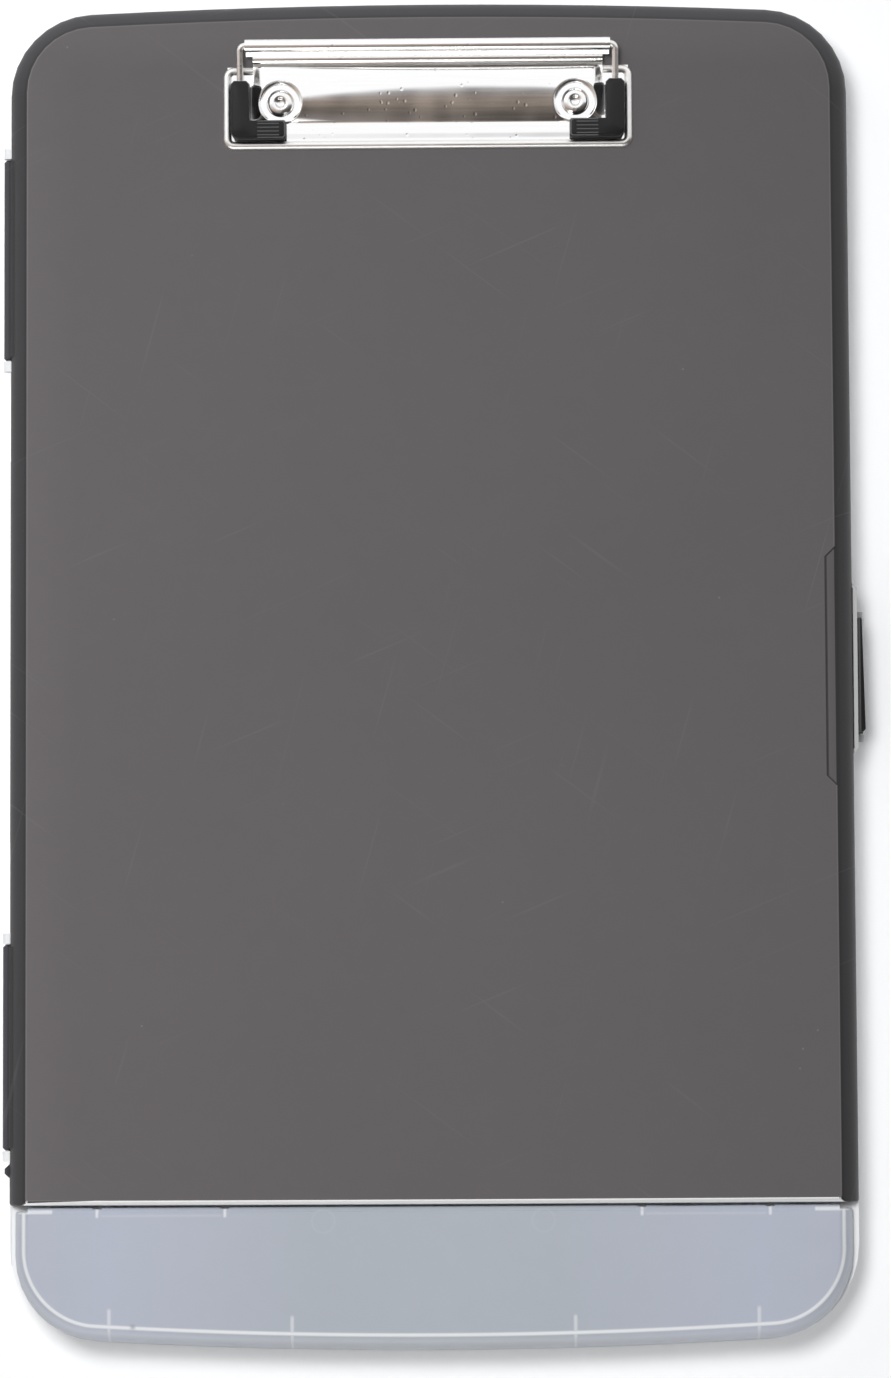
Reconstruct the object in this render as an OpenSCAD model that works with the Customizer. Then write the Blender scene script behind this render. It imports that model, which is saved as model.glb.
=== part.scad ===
// Storage clipboard box: a flat tray for paper with a pen compartment at one end,
// a hinged lid that is also the writing board, and a low wire clip on the lid.
// The box lies on its back: X across, Y up the page, Z out of the writing board.
// The origin is in the middle of the underside. Millimetres throughout.

/* [Body] */
// Width across the lid and the tray's rim
body_w = 248; // [235:0.5:300]
// Length from the top end to the pen end
body_l = 397.5; // [380:0.5:460]
// Thickness from the underside to the writing board
body_t = 26; // [24:0.5:34]
// Height of the tray's rim, where the lid closes on it
split_z = 17.5; // [16:0.5:19]
// Radius of the corners in plan
corner_r = 25; // [16:0.5:34]
// Radius of the gently bowed top end
top_bow_r = 2190; // [900:10:4000]
// Radius of the bowed pen end
pen_bow_r = 1650; // [900:10:4000]
// Length given to the pen compartment's cover
pen_len = 42.5; // [36:0.5:60]
// Gap left between moving pieces
gap = 0.3; // [0.2:0.05:0.4]

/* [Tray] */
// Thickness of the tray's walls
tray_wall = 1.8; // [1.4:0.1:2.4]
// Thickness of the tray's floor
tray_floor = 2; // [1.4:0.1:3]
// How far the rim stands out from the tray's wall
rim_out = 1.8; // [1.6:0.1:2.6]
// Thickness of the rim
rim_t = 1.8; // [1.2:0.1:2.4]
// Lean of the walls from floor to rim
tray_draft = 0.8; // [0.2:0.1:1.4]
// Radius of the edge under the floor
floor_r = 3; // [1.5:0.25:5]

/* [Lid] */
// Thickness of the writing board
lid_t = 2.2; // [1.6:0.1:3]
// Thickness of the lid's skirt
lid_wall = 2; // [1.6:0.1:2.4]
// Width of the falling bevel round the board
bevel_w = 5.5; // [4:0.25:8]
// Thickness of the locating rib inside the skirt
lip_t = 1.2; // [0.8:0.1:1.6]
// How far the locating rib reaches into the tray
lip_h = 2.2; // [1:0.1:3]
// Length of the finger notch in the board's right edge
notch_l = 70; // [50:1:110]
// Width of the finger notch
notch_w = 2.8; // [1.5:0.1:5]
// Depth of the finger notch
notch_h = 0.5; // [0.3:0.05:1]

/* [Lid hinge] */
// Radius of each hinge barrel
barrel_r = 1.75; // [1.6:0.05:2.2]
// Length of each hinge barrel
barrel_l = 60; // [40:1:80]
// Middle of the upper barrel, measured down from the top end
barrel_top = 76; // [60:1:120]
// Middle of the lower barrel, measured up from the lid's end
barrel_low = 46.2; // [40:0.2:120]
// Radius of the steel hinge pins
hinge_pin_r = 1; // [0.8:0.05:1.1]
// Length of each tray lug that holds a pin's end
lug_l = 3; // [2.5:0.5:8]
// Chamfer round each end of a barrel
barrel_cut = 0.7; // [0.3:0.05:0.7]
// Running clearance of a pivot, on the radius
pivot_fit = 0.05; // [0.03:0.01:0.1]
// Length of the stop nub below the lower barrel
nub_l = 4.4; // [3:0.2:6]
// How far the stop nub stands out from the lid's side
nub_out = 1.3; // [0.9:0.1:1.4]

/* [Pen cover] */
// Thickness of the pen cover
cover_t = 1.6; // [1.2:0.1:2]
// How far the pen cover lies below the board
cover_drop = 0.6; // [0.3:0.1:1.2]
// Width of the pen cover's rounded edge
cover_bevel = 4.2; // [3:0.2:6]
// Thickness of the wall that plugs into the tray
plug_t = 1; // [0.8:0.1:1.4]
// How far that wall reaches below the rim
plug_h = 3; // [2:0.25:6]
// Setback of that wall behind the cover's edge at the pen end
plug_back = 4; // [3.5:0.1:5]
// Setback of that wall behind the cover's edge at the sides
plug_side = 2.5; // [2.4:0.1:3]
// Distances of the gusset ribs from the middle
gusset_xs = [41.1, 94.3];
// Length of a gusset rib inside the plug wall
gusset_l = 6; // [3:0.5:10]
// Radius of the rails that the cover turns on
rail_r = 1.1; // [0.9:0.05:1.2]
// Wall of the snap hooks round the rails
hook_t = 0.85; // [0.7:0.05:0.95]
// Length of each snap hook
hook_l = 34.6; // [20:0.2:44]
// Distance of the snap hooks from the middle
hook_x = 79.2; // [60:0.2:84]
// Opening of a snap hook, in degrees
hook_mouth = 100; // [60:5:130]
// Thickness of the posts that carry the rails
post_t = 2; // [1.6:0.1:3]
// Length of the bar that closes each end of the cover's hinged edge
return_l = 9; // [5:0.5:12]
// Thickness of those bars
return_t = 1.5; // [1:0.1:2]
// Radius of the two round marks under the cover, where it was pushed from its mould
mark_r = 3.3; // [2:0.1:4]
// Distance of those marks from the middle
mark_x = 32; // [20:1:50]
// Thickness of the ribs under the ledge that the lid's end lies on
ledge_rib_t = 1.2; // [0.8:0.1:1.6]
// Distance from one of those ribs to the next
ledge_rib_step = 50; // [30:1:56]

/* [Latch] */
// Length of the tray's latch boss
boss_l = 54; // [48:1:80]
// Width of the pocket inside the boss
boss_pocket = 2; // [1.9:0.1:2.5]
// Thickness of the boss's outer skin
boss_skin = 1.2; // [1:0.1:1.6]
// Length of the latch flap
latch_l = 33.6; // [26:0.2:36]
// Middle of the latch flap along the side
latch_y = -1.7; // [-4:0.1:4]
// Thickness of the flap at its thin end
latch_thin = 1.2; // [1:0.1:1.8]
// Thickness of the flap at its thick end
latch_thick = 2; // [1.8:0.1:3]
// Height of the flap's top above the underside
latch_top = 15.6; // [14.6:0.1:16.4]
// Height of the flap's pivot
latch_z = 5.2; // [5:0.1:6.5]
// Radius of the latch pin
latch_pin_r = 0.5; // [0.4:0.05:0.6]
// Width of the lid's catch tongue
tongue_w = 16; // [12:0.5:22]
// Thickness of the catch tongue
tongue_t = 1.2; // [0.9:0.1:1.2]
// Width of the strips on each side of the tongue's window
tongue_side = 3; // [2:0.1:4]
// Distance of the latch's tooth below the flap's top
tooth_in = 1.2; // [0.8:0.1:1.6]
// Thickness of the latch's tooth
tooth_t = 2; // [1.4:0.1:2.2]
// Length of the ears that hold the latch pin
ear_t = 2.2; // [1.6:0.1:3]

/* [Clip] */
// Width of the clip plate
clip_w = 120.8; // [100:0.2:150]
// Distance of the lever's pivot from the top end
pivot_in = 18.1; // [17:0.1:30]
// Length of the clip plate in front of the pivot
clip_l = 26.8; // [25:0.1:34]
// Length of the flat strip in front of the crown
land_l = 8; // [7:0.1:9]
// Thickness of the clip's sheet metal
sheet_t = 0.8; // [0.5:0.05:1]
// Radius of the bead along the plate's edge
bead_r = 1.25; // [1:0.05:1.5]
// Rise of the plate's crown above its flat
crown_h = 2.6; // [1.6:0.1:3.2]
// Clearance between a boot and the crown's end
crown_clear = 1; // [0.3:0.1:10]
// Length of the crown's rounded ends
crown_end = 3; // [2.4:0.1:4]
// Distance of a rivet from where the crown's end starts to fall
rivet_side = 5; // [4.5:0.1:12]
// Distance of the rivets from the plate's front edge
rivet_in = 13.7; // [13:0.1:14.5]
// Radius of a rivet's shank
rivet_r = 1.5; // [1.2:0.1:1.8]
// Radius of a rivet's head
rivet_head_r = 4.1; // [3:0.1:4.6]
// Radius of the round seat pressed for a rivet
seat_r = 6.2; // [5.2:0.1:6.8]
// Radius of the rolled bead that the lever turns on
curl_r = 1.15; // [1.1:0.05:1.4]
// Radius of the washers under the lid
washer_r = 4.5; // [3.4:0.1:5.5]
// Thickness of those washers
washer_t = 0.8; // [0.5:0.1:1.2]
// Thickness of the lever's sheet
lever_t = 0.55; // [0.5:0.05:0.7]
// Radius of the lever's tube
tube_r = 1.95; // [1.85:0.05:2.1]
// Distance of the tube behind the pivot
tube_back = 3.2; // [3.2:0.1:4]
// Height of the tube above the pivot
tube_up = 3.4; // [3.1:0.1:3.6]
// How far the curl and its hook stop short of the tube's ends
curl_in = 2.2; // [1:0.1:6]
// Distance of the wire's arms from the plate's sides
arm_in = 5.1; // [5:0.1:9]
// Radius of the spring wire
wire_r = 1; // [0.8:0.05:1.1]
// Radius of the wire's bends at the tube's ends
wire_bend = 1.5; // [1.3:0.1:3]
// Distance of the boots from the plate's front edge
boot_in = 2.5; // [2.5:0.1:4]
// Width of a boot's leg
boot_w = 5.6; // [5:0.1:5.8]
// Height of a boot
boot_h = 4.2; // [3.6:0.1:5]
// Length of a boot along the arm of the wire
boot_long = 17.4; // [14:0.1:19]
// Length of a boot across the paper
boot_across = 16.3; // [12:0.1:20]

/* [Hidden] */

$fn = 48;
eps = 0.01;
CORNER_STEPS = 8;
BOW_STEPS = 12;

clear_pp = [0.72, 0.76, 0.82];
charcoal = [0.30, 0.29, 0.30];
black_soft = [0.08, 0.08, 0.09];
chrome = [0.80, 0.80, 0.82];
steel = [0.62, 0.62, 0.64];

// Body
half_w = body_w / 2;
top_y = body_l / 2;
pen_y = -body_l / 2;
seam_y = pen_y + pen_len;
straight_r = 60000;
small_r = 0.8;

// Tray
tray_hw = half_w - rim_out;
tray_top_y = top_y - rim_out;
tray_pen_y = pen_y + 0.3;
tray_corner_r = corner_r - rim_out;
rim_pen_r = corner_r + 3;
room_hw = tray_hw - tray_wall;

// Pen cover and the seam
cover_top = body_t - cover_drop;
axis_r = rail_r + pivot_fit + hook_t;
pen_axis_y = seam_y - axis_r - 2 * gap;
pen_axis_z = cover_top - axis_r;
cover_end_y = pen_axis_y + axis_r / 2;
divider_y = pen_axis_y + tray_wall / 2;
divider_top = pen_axis_z - axis_r - 1.4 * gap;
ledge_in_y = seam_y + lid_wall + gap;
ledge_rib_end = 0.8;
divider_in = 2;
gusset_rise = 1.5;
mark_t = 0.2;
post_half = tray_wall / 2;
post_xs = [
    hook_x - hook_l / 2 - gap - post_t / 2,
    hook_x + hook_l / 2 + gap + post_t / 2
];

// Lid and its hinge
skirt_z = split_z + gap;
lip_out = tray_wall + rim_out + gap + 0.2;
hinge_x = -half_w - 0.25;
hinge_z = split_z;
barrel_ys = [top_y - barrel_top, seam_y + barrel_low];
nub_y = barrel_ys[1] - barrel_l / 2 - lug_l - 3 * gap - nub_l / 2;
nub_tip = 0.7;
pin_l = barrel_l + 2 * (gap + lug_l);

// Latch
boss_in = tray_hw + 0.1;
boss_out = boss_in + boss_pocket + boss_skin;
boss_z = floor_r;
latch_r = latch_thin * 0.8;
latch_in = boss_out + gap;
latch_x = latch_in + latch_r;
latch_cut = 0.6;
ear_lip = 0.2;
tongue_x = boss_in + gap + 0.05;
tooth_high = latch_top - tooth_in;
tooth_low = tooth_high - tooth_t;
tongue_z = tooth_low - 2.6;
window_half = tongue_w / 2 - tongue_side;
window_play = 0.7;

// Clip
board_z = body_t;
land_z = board_z + sheet_t;
pivot_y = top_y - pivot_in;
lever_r = curl_r + pivot_fit + lever_t;
pivot_z = board_z + lever_r + 0.45;
clip_front_y = pivot_y - clip_l;
crown_front_y = clip_front_y + land_l;
crown_back_y = pivot_y - lever_r - gap - 0.1;
crown_crest = 0.31;
crown_rear = 0.45;
curl_web_t = 0.8;
tube_y = pivot_y + tube_back;
tube_z = pivot_z + tube_up;
rivet_y = clip_front_y + rivet_in;
crown_hw = clip_w / 2 - arm_in - boot_w / 2 - crown_clear - crown_end;
rivet_x = crown_hw - rivet_side;
seat_z = land_z + 0.2;
dome_r = 1.1;
dome_h = 1.45;
dimple_r = 1.6;
dimple_h = 0.75;
foot_h = 0.9;
foot_out = 0.8;
arm_x = clip_w / 2 - arm_in;
tube_hw = arm_x - wire_bend;
web_hw = tube_hw - 0.3;
curl_hw = tube_hw - curl_in;
wire_z = land_z + gap + boot_h / 2;
wire_in = 2.5;
boot_front_y = clip_front_y + boot_in;
wire_front_y = boot_front_y + boot_w / 2;
grip_l = 6.4;
grip_w = 0.4;
grip_h = 0.3;
grip_lines = 4;
grip_step = (boot_w - 2.2) / (grip_lines - 1);

// ---- Outlines and skins ----

function arc(c, r, a0, a1, n) =
    [for (i = [0:n]) let (a = a0 + (a1 - a0) * i / n) [c.x + r * cos(a), c.y + r * sin(a)]];

function inner(list) = [for (i = [1:len(list) - 2]) list[i]];

// Half outline of one end, right side to left: a corner, a bowed edge, a corner
function bowed_end(hw, end_y, r, bow_r) =
    let (
        bow_c = [0, end_y - bow_r],
        corner_c = [hw - r, bow_c.y + sqrt(pow(bow_r - r, 2) - pow(hw - r, 2))],
        a = atan2(corner_c.y - bow_c.y, corner_c.x)
    )
    concat(
        arc(corner_c, r, 0, a, CORNER_STEPS),
        inner(arc(bow_c, bow_r, a, 180 - a, BOW_STEPS)),
        arc([-corner_c.x, corner_c.y], r, 180 - a, 180, CORNER_STEPS)
    );

function outline(hw, y1, r1, bow1, y0, r0, bow0) =
    concat(
        bowed_end(hw, y1, r1, bow1),
        [for (p = bowed_end(hw, -y0, r0, bow0)) [-p.x, -p.y]]
    );

function tray_outline(d) =
    outline(
        tray_hw - d, tray_top_y - d, max(tray_corner_r - d, 1), top_bow_r,
        tray_pen_y + d, max(corner_r - d, 1), pen_bow_r
    );

function rim_outline() =
    outline(half_w, top_y, corner_r, top_bow_r, pen_y, rim_pen_r, pen_bow_r);

// The lid's sides and top fall back by d, its end face at the seam by e
function lid_outline(d, e) =
    outline(
        half_w - d, top_y - d, max(corner_r - d, 1), top_bow_r,
        seam_y + e, small_r, straight_r
    );

function cover_outline(d, e) =
    outline(
        tray_hw - d, cover_end_y - e, small_r, straight_r,
        tray_pen_y - 0.1 + d, max(corner_r - d, 1), pen_bow_r
    );

// Solid through a stack of closed rings of 3D points, each ring running the same way
module skin(rings) {
    n = len(rings[0]);
    last = len(rings) - 1;
    sides = [
        for (k = [0:last - 1]) for (i = [0:n - 1])
            let (a = k * n + i, b = k * n + (i + 1) % n)
                each [[a, a + n, b + n], [a, b + n, b]]
    ];
    caps = [[for (i = [0:n - 1]) i], [for (i = [0:n - 1]) last * n + n - 1 - i]];
    polyhedron(points = [for (r = rings) each r], faces = concat(sides, caps));
}

function at_z(pts, z) = [for (p = pts) [p.x, p.y, z]];

module slab(pts, z0, z1) {
    translate([0, 0, z0])
        linear_extrude(z1 - z0)
            polygon(pts);
}

module box(lo, hi) {
    translate(lo)
        cube(hi - lo);
}

module rod_x(x0, x1, y, z, r) {
    translate([x0, y, z])
        rotate([0, 90, 0])
            cylinder(r = r, h = x1 - x0);
}

module rod_y(x, y0, y1, z, r) {
    translate([x, y1, z])
        rotate([90, 0, 0])
            cylinder(r = r, h = y1 - y0);
}

module both_sides() {
    children();
    mirror([1, 0, 0])
        children();
}

// ---- Tray ----

module tray_shell() {
    difference() {
        union() {
            skin([
                at_z(tray_outline(tray_draft + floor_r), 0),
                at_z(tray_outline(tray_draft + floor_r * 0.35), floor_r * 0.27),
                at_z(tray_outline(tray_draft), floor_r),
                at_z(tray_outline(0), split_z)
            ]);
            slab(rim_outline(), split_z - rim_t, split_z);
            latch_boss();
        }
        skin([
            at_z(tray_outline(tray_wall + tray_draft + floor_r * 0.6), tray_floor),
            at_z(tray_outline(tray_wall + tray_draft), tray_floor + floor_r * 0.6),
            at_z(tray_outline(tray_wall), split_z),
            at_z(tray_outline(tray_wall), split_z + 1)
        ]);
    }
}

module latch_boss() {
    half = boss_l / 2;
    reach = boss_out - tray_hw;
    slab(
        [
            [tray_hw - tray_draft - tray_wall / 2, -half], [tray_hw, -half],
            [boss_out, -half + reach], [boss_out, half - reach],
            [tray_hw, half], [tray_hw - tray_draft - tray_wall / 2, half]
        ],
        boss_z, split_z
    );
}

module divider() {
    wide = room_hw + tray_wall / 2;
    ledge_z = split_z - rim_t;
    box([-wide, divider_y - tray_wall, tray_floor / 2], [wide, divider_y, split_z]);
    box([-wide, divider_y - eps, ledge_z], [wide, ledge_in_y, split_z]);
    box(
        [-room_hw + divider_in, divider_y - tray_wall, split_z - eps],
        [room_hw - divider_in, divider_y, divider_top]
    );
    for (i = [-2:2])
        translate([i * ledge_rib_step - ledge_rib_t / 2, 0, 0])
            rotate([90, 0, 90])
                linear_extrude(ledge_rib_t)
                    polygon([
                        [divider_y - eps, ledge_z + eps], [ledge_in_y, ledge_z + eps],
                        [ledge_in_y, ledge_z - ledge_rib_end], [divider_y - eps, ledge_z / 2]
                    ]);
}

module pen_rails() {
    both_sides() {
        rod_x(post_xs[0] - post_t / 2, post_xs[1] + post_t / 2, pen_axis_y, pen_axis_z, rail_r);
        for (x = post_xs)
            box(
                [x - post_t / 2, pen_axis_y - post_half, divider_top - 1],
                [x + post_t / 2, pen_axis_y + post_half, pen_axis_z]
            );
    }
}

module hinge_lugs() {
    for (y = barrel_ys) for (s = [-1, 1]) {
        y0 = y + s * (barrel_l / 2 + gap + lug_l / 2) - lug_l / 2;
        rod_y(hinge_x, y0, y0 + lug_l, hinge_z, barrel_r);
        box([hinge_x, y0, split_z - rim_t], [-tray_hw, y0 + lug_l, split_z]);
    }
}

module latch_ears() {
    for (s = [-1, 1]) {
        y0 = latch_y + s * (latch_l / 2 + gap + ear_t / 2) - ear_t / 2;
        rod_y(latch_x, y0, y0 + ear_t, latch_z, latch_r + ear_lip);
        box(
            [boss_out - boss_skin / 2, y0, latch_z - latch_r - ear_lip],
            [latch_x, y0 + ear_t, latch_z + latch_r + ear_lip]
        );
    }
}

module base_tray() {
    pocket_half = boss_l / 2 - (boss_out - tray_hw);
    color(clear_pp)
        difference() {
            union() {
                difference() {
                    tray_shell();
                    for (y = barrel_ys)
                        rod_y(
                            hinge_x, y - barrel_l / 2 - gap, y + barrel_l / 2 + gap,
                            hinge_z, barrel_r + gap
                        );
                    rod_y(
                        hinge_x, nub_y - nub_l / 2 - gap, nub_y + nub_l / 2 + gap,
                        hinge_z, barrel_r + gap
                    );
                }
                divider();
                pen_rails();
                hinge_lugs();
                latch_ears();
            }
            for (y = barrel_ys)
                rod_y(hinge_x, y - pin_l, y + pin_l, hinge_z, hinge_pin_r);
            box(
                [boss_in, -pocket_half, latch_z],
                [boss_in + boss_pocket, pocket_half, split_z + 1]
            );
            box(
                [boss_in + eps, -window_half - gap, tooth_low - window_play],
                [boss_out + 1, window_half + gap, tooth_high + window_play]
            );
            rod_y(latch_x, latch_y - latch_l, latch_y + latch_l, latch_z, latch_pin_r);
        }
}

// ---- Lid ----

module lid_shell() {
    rise = body_t - skirt_z;
    difference() {
        skin([
            at_z(lid_outline(0, 0), skirt_z),
            at_z(lid_outline(bevel_w * 0.06, 0), skirt_z + rise * 0.22),
            at_z(lid_outline(bevel_w * 0.16, 0), skirt_z + rise * 0.42),
            at_z(lid_outline(bevel_w * 0.31, 0), skirt_z + rise * 0.60),
            at_z(lid_outline(bevel_w * 0.50, 0), skirt_z + rise * 0.75),
            at_z(lid_outline(bevel_w * 0.72, 0.15), skirt_z + rise * 0.88),
            at_z(lid_outline(bevel_w * 0.94, 0.8), skirt_z + rise * 0.98),
            at_z(lid_outline(bevel_w, 1.4), body_t)
        ]);
        skin([
            at_z(lid_outline(lid_wall, lid_wall), skirt_z - 1),
            at_z(lid_outline(lid_wall + bevel_w * 0.06, lid_wall), skirt_z + rise * 0.2),
            at_z(lid_outline(lid_wall + bevel_w * 0.30, lid_wall), skirt_z + rise * 0.5),
            at_z(lid_outline(lid_wall + bevel_w * 0.58, lid_wall), body_t - lid_t)
        ]);
    }
}

module locating_rib() {
    difference() {
        slab(lid_outline(lip_out, lip_out - tray_wall + 0.3), split_z - lip_h, body_t - lid_t + eps);
        slab(
            lid_outline(lip_out + lip_t, lip_out - tray_wall + 0.3 + lip_t),
            split_z - lip_h - 1, body_t
        );
    }
}

module finger_notch() {
    half = notch_l / 2;
    in_x = half_w - bevel_w - notch_w;
    slab(
        [
            [in_x, -half + notch_w], [in_x + notch_w, -half], [half_w + 1, -half],
            [half_w + 1, half], [in_x + notch_w, half], [in_x, half - notch_w]
        ],
        body_t - notch_h, body_t + 1
    );
}

// Each barrel runs up into the skirt through a sloping web, and its ends are chamfered
module hinge_barrels() {
    r = barrel_r;
    straight = barrel_l - 2 * barrel_cut;
    for (y = barrel_ys)
        translate([hinge_x, y, hinge_z])
            rotate([90, 0, 0]) {
                for (s = [0, 180])
                    rotate([s, 0, 0])
                        translate([0, 0, straight / 2])
                            cylinder(r1 = r, r2 = r - barrel_cut, h = barrel_cut);
                cylinder(r = r, h = straight, center = true);
                translate([0, 0, -straight / 2])
                    linear_extrude(straight)
                        polygon([
                            [0, 0], [0, r], [0.3, r * 1.12], [0.7, r * 2.4],
                            [lid_wall, r * 2.6], [lid_wall, 0]
                        ]);
            }
}

module catch_tongue() {
    difference() {
        box(
            [tongue_x, -tongue_w / 2, tongue_z],
            [tongue_x + tongue_t, tongue_w / 2, skirt_z + 1]
        );
        box(
            [tongue_x - 1, -window_half, tooth_low - window_play],
            [tongue_x + tongue_t + 1, window_half, tooth_high + window_play]
        );
    }
}

module stop_nub() {
    slab(
        [
            [-half_w + 0.3, nub_y + nub_l / 2], [-half_w - nub_out, nub_y + nub_tip],
            [-half_w - nub_out, nub_y - nub_tip], [-half_w + 0.3, nub_y - nub_l / 2]
        ],
        skirt_z, hinge_z + barrel_r * 0.7
    );
}

module lid() {
    color(charcoal)
        difference() {
            union() {
                difference() {
                    union() {
                        lid_shell();
                        locating_rib();
                    }
                    for (y = barrel_ys) for (s = [-1, 1]) {
                        y0 = y + s * (barrel_l / 2 + gap + lug_l / 2) - lug_l / 2 - gap;
                        rod_y(hinge_x, y0, y0 + lug_l + 2 * gap, hinge_z, barrel_r + gap);
                    }
                }
                hinge_barrels();
                catch_tongue();
                stop_nub();
            }
            finger_notch();
            for (y = barrel_ys)
                rod_y(hinge_x, y - barrel_l, y + barrel_l, hinge_z, hinge_pin_r + pivot_fit);
            for (s = [-1, 1])
                translate([s * rivet_x, rivet_y, board_z - lid_t - 1])
                    cylinder(r = rivet_r, h = lid_t + 2);
        }
}

module hinge_pin(y) {
    color(steel)
        rod_y(hinge_x, y - pin_l / 2, y + pin_l / 2, hinge_z, hinge_pin_r);
}

module hinge_pin_upper() {
    hinge_pin(barrel_ys[0]);
}

module hinge_pin_lower() {
    hinge_pin(barrel_ys[1]);
}

// ---- Pen cover ----

// The cover as a full solid, drawn in by d: shares of its bevel and rise, and its end's setback
module cover_solid(d) {
    steps = [[0, 0, 0], [0.05, 0.3, 0], [0.18, 0.56, 0], [0.42, 0.78, 0], [0.72, 0.93, 0.1], [1, 1, 0.4]];
    skin([
        for (s = steps)
            at_z(
                cover_outline(cover_bevel * s[0] + d, s[2]),
                skirt_z + (cover_top - skirt_z) * s[1] - d
            )
    ]);
}

module cover_shell() {
    rise = cover_top - skirt_z;
    difference() {
        cover_solid(0);
        skin([
            at_z(cover_outline(cover_t, -2), skirt_z - 1),
            at_z(cover_outline(cover_t + cover_bevel * 0.12, -2), skirt_z + rise * 0.4),
            at_z(cover_outline(cover_t + cover_bevel * 0.60, -2), cover_top - cover_t)
        ]);
    }
}

module plug_wall() {
    d_side = plug_side;
    d_end = plug_back;
    far_y = tray_pen_y + d_end;
    hw = tray_hw - d_side;
    r = corner_r - d_end;
    near_y = divider_y - tray_wall - gap;
    difference() {
        slab(
            outline(hw, near_y, small_r, straight_r, far_y, r, pen_bow_r),
            split_z - plug_h, cover_top - cover_t + eps
        );
        slab(
            outline(
                hw - plug_t, near_y + 5 * plug_t, small_r, straight_r,
                far_y + plug_t, r - plug_t, pen_bow_r
            ),
            split_z - plug_h - 1, cover_top
        );
    }
}

// Gusset ribs that tie the plug wall to the cover's own wall
module gussets() {
    intersection() {
        cover_solid(cover_t / 2);
        both_sides()
            for (x = gusset_xs)
                box(
                    [x - plug_t / 2, pen_y, split_z + gusset_rise],
                    [x + plug_t / 2, tray_pen_y + plug_back + plug_t + gusset_l, cover_top]
                );
    }
}

module mould_marks() {
    both_sides()
        translate([mark_x, pen_axis_y - axis_r, cover_top - cover_t - mark_t])
            cylinder(r = mark_r, h = mark_t + eps);
}

module seam_edge() {
    edge_x = tray_hw - cover_bevel;
    low_z = pen_axis_z - axis_r;
    rod_x(-edge_x, edge_x, pen_axis_y, pen_axis_z, axis_r);
    both_sides()
        box(
            [edge_x + cover_bevel / 2 - return_l, pen_axis_y - return_t / 2, low_z],
            [edge_x + cover_bevel / 2, pen_axis_y + return_t / 2, pen_axis_z]
        );
}

// Side view of the room that a post needs below the cover's edge as the cover swings up
module post_sweep() {
    half = post_half + gap;
    out = 3 * axis_r;
    polygon([
        [-half, -out], [-half, 0], [0, 0], [0, half],
        [out, half], [out, -out]
    ]);
}

module pen_cover() {
    mouth = hook_mouth / 2;
    color(clear_pp)
        difference() {
            union() {
                cover_shell();
                plug_wall();
                gussets();
                mould_marks();
                seam_edge();
            }
            // Each pair of posts and the rail between them: a bore, its mouth and two slots
            both_sides() {
                for (x = post_xs)
                    translate([x - post_t / 2 - gap, pen_axis_y, pen_axis_z])
                        rotate([90, 0, 90])
                            linear_extrude(post_t + 2 * gap)
                                post_sweep();
                rod_x(
                    post_xs[0] - post_t, post_xs[1] + post_t, pen_axis_y, pen_axis_z,
                    rail_r + pivot_fit
                );
                translate([post_xs[0] - post_t, pen_axis_y, pen_axis_z])
                    rotate([90, 0, 90])
                        linear_extrude(post_xs[1] - post_xs[0] + 2 * post_t)
                            polygon([
                                [0, 0], 3 * axis_r * [-sin(mouth), -cos(mouth)],
                                3 * axis_r * [sin(mouth), -cos(mouth)]
                            ]);
            }
        }
}

// ---- Latch ----

module latch() {
    y0 = latch_y - latch_l / 2;
    y1 = latch_y + latch_l / 2;
    color(black_soft)
        difference() {
            union() {
                rod_y(latch_x, y0, y1, latch_z, latch_r);
                slab(
                    [
                        [latch_in, y0], [latch_in + latch_thick - latch_cut, y0],
                        [latch_in + latch_thick, y0 + latch_cut],
                        [latch_in + latch_thin, y1 - latch_cut],
                        [latch_in + latch_thin - latch_cut / 2, y1], [latch_in, y1]
                    ],
                    latch_z, latch_top
                );
                translate([0, window_half - gap, 0])
                    rotate([90, 0, 0])
                        linear_extrude(2 * (window_half - gap))
                            polygon([
                                [tongue_x + tongue_t + gap, tooth_low], [latch_in + eps, tooth_low],
                                [latch_in + eps, tooth_high],
                                [tongue_x + tongue_t + gap, tooth_low + tooth_t / 2]
                            ]);
            }
            rod_y(latch_x, y0 - 1, y1 + 1, latch_z, latch_pin_r + pivot_fit);
        }
}

module latch_pin() {
    half = latch_l / 2 + gap + ear_t;
    color(steel)
        rod_y(latch_x, latch_y - half, latch_y + half, latch_z, latch_pin_r);
}

// ---- Clip ----

// Height of the crown from its back at 0 to its front at 1, as a share of its rise
function crown_share(t) =
    t < crown_crest
        ? 1 - (1 - crown_rear) * pow((crown_crest - t) / crown_crest, 2)
        : 1 - pow((t - crown_crest) / (1 - crown_crest), 2);

// Cross-section of the crown at x, as a closed ring in Y and Z
function crown_ring(x, h, inset) =
    let (
        y0 = crown_front_y + inset,
        y1 = crown_back_y - inset,
        base = board_z - (inset > 0 ? 1 : 0),
        top = land_z - inset
    )
    concat(
        [[x, y0, base], [x, y1, base]],
        [for (i = [0:12]) let (t = i / 12)
            [x, y1 + (y0 - y1) * t, top + 0.02 + h * crown_h * crown_share(t)]]
    );

// Steps of the crown's rounded ends: how far out each lies, and its share of the rise
module crown(inset) {
    half = crown_hw;
    ends = [
        [crown_end, 0.02], [crown_end - 0.8, 0.4], [crown_end - 1.8, 0.78],
        [0, 0.95], [-4, 1]
    ];
    skin(concat(
        [for (e = ends) crown_ring(-half - e[0] + inset, e[1], inset)],
        [for (i = [4:-1:0]) crown_ring(half + ends[i][0] - inset, ends[i][1], inset)]
    ));
}

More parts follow.
